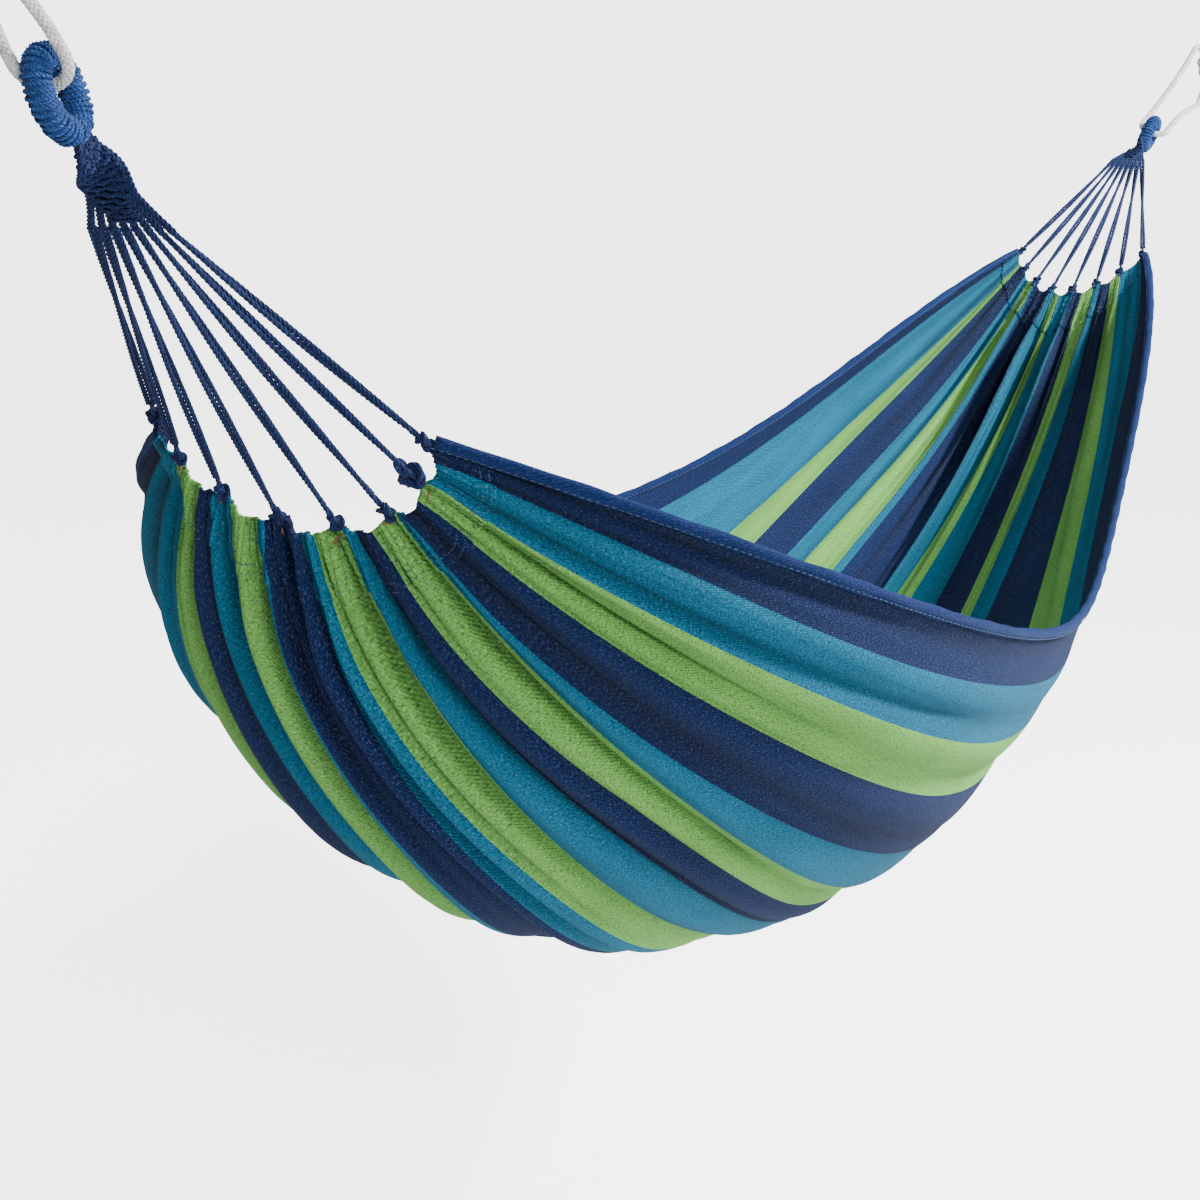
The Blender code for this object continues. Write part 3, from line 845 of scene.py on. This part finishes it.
def clewPoint(end, share, sideways, depth):
    centre, across, through = clewFrame(end, share)
    return centre + across * sideways * clew["gathered"][end.side] + through * depth


def clewNarrow(share):
    # the weave is drawn in below the eye and again half way down
    opened = clew["topDrawn"] + (1 - clew["topDrawn"]) * ease(share / clew["openBy"])
    return opened * (1 - clew["waist"] * math.sin(math.pi * min(max(share, 0), 1)))


def makeClew(end):
    # the cords run up to the eye, and the weft holds fewer of them in each row on the way down
    lines = []
    for i, spot in enumerate(np.linspace(-cords["spread"], cords["spread"], bed["knotCount"])):
        for half in (-1, 1):
            line = []
            for share in np.linspace(*clew["cordSpan"], clew["cordPoints"]):
                depth = clew["stack"] * half * (1 - ease(share * 1.2))
                depth += clew["stray"] * math.sin(9 * share + i) * (1 - ease(share))
                sideways = spot * clewNarrow(share) + half * clew["pair"]
                line.append(clewPoint(end, share, sideways, depth * clew["pairDepth"]))
            lines.append((line, False))
    for row, share in enumerate(np.linspace(*clew["weftSpan"], clew["wefts"])):
        reach = min(clew["weftWidth"] * clewNarrow(share), clew["taper"][0] - clew["taper"][1] * share)
        line = []
        for a in np.linspace(0, 2 * math.pi, clew["weftPoints"], endpoint=False):
            sideways = reach * math.cos(a)
            weave = math.cos(math.pi * (sideways / cords["spread"] * (bed["knotCount"] - 1) / 2 + row))
            face = math.copysign(min(1.0, abs(math.sin(a)) * clew["flatness"]), math.sin(a))
            depth = face * (clew["weftDepth"] + clew["weave"] * weave)
            line.append(clewPoint(end, share + clew["weftDrift"] * math.sin(a + row), sideways, depth))
        lines.append((line, True))
    woven = growAlong(end.name + "_woven_clew", lines, woundCord, dict(wind, **clew["wind"]), navyCord)
    belongs(woven, "hammock", "navy_cord", end.name + "_clew")


knots = {
    "big": ("head", 1),  # the second from the near side is tied with more cord
    "length": 0.018, "gap": 0.002, "spin": 0.9, "points": 64, "tailIn": 0.004, "tailOut": 0.010,
    "tailLift": 0.002,
    "usual": {"size": 0.00210, "shift": 0.007, "wind": {
        "Strand Offset": 0.0010, "Strand Pitch": 0.03, "Ply Offset": 0.0007, "Ply Radius": 0.0009, "Step": 0.0007}},
    "bulky": {"size": 0.00357, "shift": -0.002, "wind": {
        "Strand Offset": 0.0016, "Strand Pitch": 0.03, "Ply Offset": 0.0009, "Ply Radius": 0.0012, "Step": 0.0007}},
}


def knotLine(centre, axis, size, spin):
    # an overhand knot: a trefoil drawn out along the cord
    side = unit(np.cross(axis, (0.3, 0.2, 0.9)))
    other = np.cross(axis, side)
    a = np.linspace(0, 2 * math.pi, knots["points"], endpoint=False)
    x, y, z = np.sin(a) + 2 * np.sin(2 * a), np.cos(a) - 2 * np.cos(2 * a), -np.sin(3 * a)
    c, s = math.cos(spin), math.sin(spin)
    x, y = x * c - y * s, x * s + y * c
    return centre + (np.outer(x, side) * 0.8 + np.outer(z, other) * 1.15 + np.outer(y, axis) * 1.15) * size


def makeCords(end):
    centre, across, _ = clewFrame(end, 1)
    for i, v in enumerate(knotPlaces()):
        start = centre - across * v * cords["spread"] * clew["gathered"][end.side]
        hem = bedPoint(end.side, v)
        line = unit(start - hem)
        knotEnd = hem + line * knots["gap"]
        knotStart = knotEnd + line * knots["length"]
        shares = np.linspace(0, 1, cords["points"])
        sag = np.outer(np.sin(math.pi * shares), np.array((0.0, 0.0, -1.0)) * cords["sag"])
        path = (knotStart + np.outer(shares, start - knotStart) + sag)[::-1]
        name = "%s_cord_%d" % (end.name, i + 1)
        twin = growAlong(name + "_twin", [(path, False)], woundCord, wind, navyCord)
        belongs(twin, "hammock", "navy_cord", name)
        kind = knots["bulky" if (end.name, i) == knots["big"] else "usual"]
        middle = (knotStart + knotEnd) / 2 - line * kind["shift"]
        tip = knotEnd - line * knots["tailOut"] + bedNormal(end.side, v) * knots["tailLift"]
        tail = np.array([knotStart + line * knots["tailIn"], middle, tip])
        lines = [(knotLine(middle, line, kind["size"], knots["spin"] * i), True), (tail, False)]
        name = "%s_knot_%d" % (end.name, i + 1)
        knot = growAlong(name + "_tied", lines, woundCord, dict(wind, **kind["wind"]), navyCord)
        belongs(knot, "hammock", "navy_cord", name)


threadEnds = {
    "seeds": {"head": 11, "foot": 12},
    "each": 3,  # loose ends at each knot
    "from": 0.996, "root": 0.0015, "length": 0.007, "stray": 0.004, "arch": 0.002,
    "fall": (0.003, 0.002),  # off the end of the cloth, and down
    "wind": {"Strands": 1, "Plies": 1, "Strand Offset": 0.0, "Ply Offset": 0.0002, "Ply Radius": 0.00045,
             "Step": 0.0008},
}


def makeThreadEnds(end):
    lines = []
    pick = np.random.default_rng(threadEnds["seeds"][end.name])
    fall = np.array((-end.side * threadEnds["fall"][0], 0, -threadEnds["fall"][1]))
    for v in knotPlaces()[1:-1]:
        root = clothPoint(end.side * threadEnds["from"], v)
        away = -bedNormal(end.side, v)
        for _ in range(threadEnds["each"]):
            drift = pick.normal(size=3) * threadEnds["stray"]
            tip = root + away * threadEnds["length"] + drift + fall
            bend = (root + tip) / 2 + drift * 0.5 + away * threadEnds["arch"]
            lines.append((np.array([root + away * threadEnds["root"], bend, tip]), False))
    ends = growAlong(end.name + "_thread_ends", lines, woundCord, dict(wind, **threadEnds["wind"]), endThread)
    belongs(ends, "hammock", "navy_cord")


rope = {
    "radius": 0.004, "barRadius": 0.041,
    "clearance": 0.0045,  # room for the eye to roll in the rope's bight
    "knotRadius": 0.013, "knotGap": 0.0003, "barPoints": 17, "legPoints": 25, "bightPoints": 9,
    "tie": {"size": 0.0040, "spin": 0.4, "step": 0.0012},
}


def ropeRoute(end):
    loop = rope["barRadius"] + rope["radius"]
    bight = eye["bundle"] + rope["radius"] + rope["clearance"]
    knotTurn = math.asin((rope["knotRadius"] + rope["knotGap"]) / loop)
    lastTurn = math.pi / 2 + math.asin(loop / hanging["barToEye"])
    bar = np.linspace(knotTurn, lastTurn, rope["barPoints"])
    half = [end.bar + end.out * loop * math.cos(a) + end.up * loop * math.sin(a) for a in bar]
    length = hanging["barToEye"] + loop * math.cos(lastTurn)
    height = loop * math.sin(lastTurn)
    slope = length * math.cos(lastTurn) / math.sin(lastTurn)
    for share in np.linspace(0, 1, rope["legPoints"])[1:-1]:
        lift = height * (1 - ease(share)) + slope * share * (1 - share) ** 2
        half.append(end.pivot + end.out * length * (1 - share) + end.up * lift + end.through * bight * ease(share))
    for a in np.linspace(0, math.pi / 2, rope["bightPoints"]):
        half.append(end.pivot + end.through * bight * math.cos(a) - end.out * bight * math.sin(a))
    half = np.array(half)
    arm = half[:-1][::-1] - end.pivot
    other = end.pivot + np.outer(arm @ end.out, end.out) * 2 - arm
    return np.vstack((half, other))


def makeRope(end):
    path = ropeRoute(end)
    line = growAlong(end.name + "_white_rope", [(path, False)], braidedRope, {}, whiteRope)
    belongs(line, "ropes", "white_rope", end.name + "_hanging_rope")
    centre, tie = end.bar + end.out * (rope["barRadius"] + rope["radius"]), rope["tie"]
    lines = [(knotLine(centre, end.up, tie["size"], tie["spin"]), True)]
    knot = growAlong(end.name + "_rope_tie", lines, braidedRope, {"Step": tie["step"]}, whiteRope)
    belongs(knot, "ropes", "white_rope", end.name + "_rope_knot")


head, foot = makeEnd("head", -1), makeEnd("foot", 1)
cloth = makeCloth()
print("cloth hung")
hems = [makeHemBand(end) for end in (head, foot)]
hems += [makeSideHem("near_rolled_hem", "near_side_hem", -1), makeSideHem("far_rolled_hem", "far_side_hem", 1)]
print("hems sewn")
for end in (head, foot):
    makeEye(end)
    makeClew(end)
    makeCords(end)
    makeThreadEnds(end)
    makeRope(end)
print("cords and ropes wound")


studio = {
    "floorZ": -1.30, "floorHalf": 14.0,
    "floorGlow": 3.6,  # floor and backdrop glow only where they are seen directly
    "backdropGlow": 4.0, "roomGlow": 0.26, "cameraPlace": (-0.820, -0.969, -0.231), "yaw": 31.0,
    "pitch": 11.8, "roll": 0.75, "lens": 63.6,
    "lights": {
        "key": {"at": (2.4, -2.2, 1.3), "target": (1.1, 0, -0.6), "size": 0.5, "power": 285},
        "overhead": {"at": (1.2, 0.9, 2.0), "target": (1.2, 0, -0.6), "size": 1.0, "power": 26},
        "front": {"at": (-1.2, -2.2, 0.8), "target": (0.4, 0, -0.4), "size": 0.7, "power": 58},
    },
}


def makeFloor():
    material, tree, shader, coordinates = newMaterial("pale_floor", 0.8, 0.0, (1, 1, 1, 1))
    grain = noise(tree, coordinates["Object"], 3.0, 3.0)
    tree.links.new(mixColours(tree, grain, (0.90, 0.90, 0.90, 1), (0.94, 0.94, 0.94, 1)), shader.inputs["Base Color"])
    shader.inputs["Emission Color"].default_value = (1, 1, 1, 1)
    seen = tree.nodes.new("ShaderNodeLightPath").outputs["Is Camera Ray"]
    tree.links.new(times(tree, seen, studio["floorGlow"]), shader.inputs["Emission Strength"])
    half = studio["floorHalf"]
    corners = ((-half, -half), (half, -half), (half, half), (-half, half))
    points = np.array([(x, y, studio["floorZ"]) for x, y in corners])
    meshPiece("floor", points, [(0, 1, 2, 3)], material)


def addLight(name, at, target, size, power):
    lamp = bpy.data.lights.new(name, "AREA")
    lamp.shape, lamp.size, lamp.energy = "DISK", size, power
    holder = addObject(name, lamp)
    holder.location = at
    holder.rotation_euler = (Vector(target) - Vector(at)).to_track_quat("-Z", "Y").to_euler()


def makeStudio():
    makeFloor()
    world = bpy.data.worlds.new("studio")
    bpy.context.scene.world = world
    world.use_nodes = True
    tree = world.node_tree
    glow = tree.nodes["Background"]
    glow.inputs[0].default_value = (1, 1, 1, 1)
    seen = tree.nodes.new("ShaderNodeLightPath").outputs["Is Camera Ray"]
    tree.links.new(spread(tree, seen, 0, 1, studio["roomGlow"], studio["backdropGlow"]), glow.inputs[1])
    for name, light in studio["lights"].items():
        addLight(name, **light)
    camera = bpy.data.cameras.new("camera")
    camera.lens, camera.sensor_width, camera.clip_start = studio["lens"], 36, 0.01
    holder = addObject("camera", camera)
    yaw, pitch, roll = (math.radians(studio[key]) for key in ("yaw", "pitch", "roll"))
    forward = Vector((math.cos(pitch) * math.cos(yaw), math.cos(pitch) * math.sin(yaw), -math.sin(pitch)))
    level = Vector((math.sin(yaw), -math.cos(yaw), 0))
    rise = level.cross(forward)
    right = level * math.cos(roll) + rise * math.sin(roll)
    up = rise * math.cos(roll) - level * math.sin(roll)
    turn = Matrix((right, up, -forward)).transposed().to_4x4()
    holder.matrix_world = Matrix.Translation(studio["cameraPlace"]) @ turn
    bpy.context.scene.camera = holder


makeStudio()
print("studio ready")
